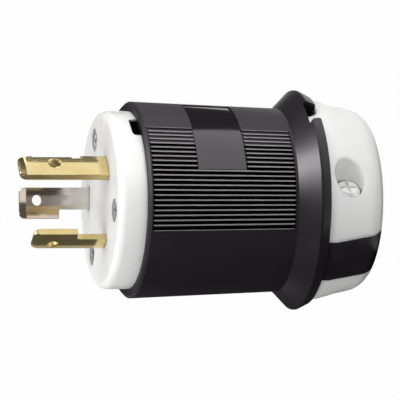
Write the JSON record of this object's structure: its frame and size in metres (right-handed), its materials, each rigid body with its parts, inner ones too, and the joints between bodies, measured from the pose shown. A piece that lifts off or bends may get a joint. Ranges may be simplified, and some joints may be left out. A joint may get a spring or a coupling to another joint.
{
  "type": "locking plug",
  "caption": "Locking plug with curved blades on a ring, white nylon nose, black ribbed barrel with a flared flange, and a screw-tightened white cord clamp.",
  "frame": {"origin": "centre of the flat cord end, on the surface that the plug stands on", "axes": "+Z along the plug's axis towards the blade tips; the cord clamp closes along Y, with its screw heads on the -Y side"},
  "size_m": [0.0513, 0.0512, 0.0843],
  "materials": {
    "black_nylon": "satin moulded",
    "white_nylon": "smooth moulded",
    "inner_nylon": "moulded",
    "rubber": "matte",
    "brass": "bright stamped",
    "nickel_plate": "plated",
    "screw_steel": "plated"
  },
  "bodies": {
    "root": {"housing": "black_nylon", "blade_carrier": "white_nylon", "terminal_retainer": "inner_nylon", "cord_clamp_front": "white_nylon", "cord_clamp_back": "white_nylon", "dust_shield": "rubber", "ground_blade": "brass", "neutral_blade": "nickel_plate", "hot_blade": "brass", "ground_wire_clamp": "brass", "neutral_wire_clamp": "brass", "hot_wire_clamp": "brass", "ground_terminal_screw": "screw_steel", "neutral_terminal_screw": "screw_steel", "hot_terminal_screw": "screw_steel", "clamp_screw_left": "screw_steel", "clamp_screw_right": "screw_steel", "clamp_nut_left": "screw_steel", "clamp_nut_right": "screw_steel", "assembly_screw_front": "screw_steel", "assembly_screw_back": "screw_steel"}
  },
  "joints": []
}
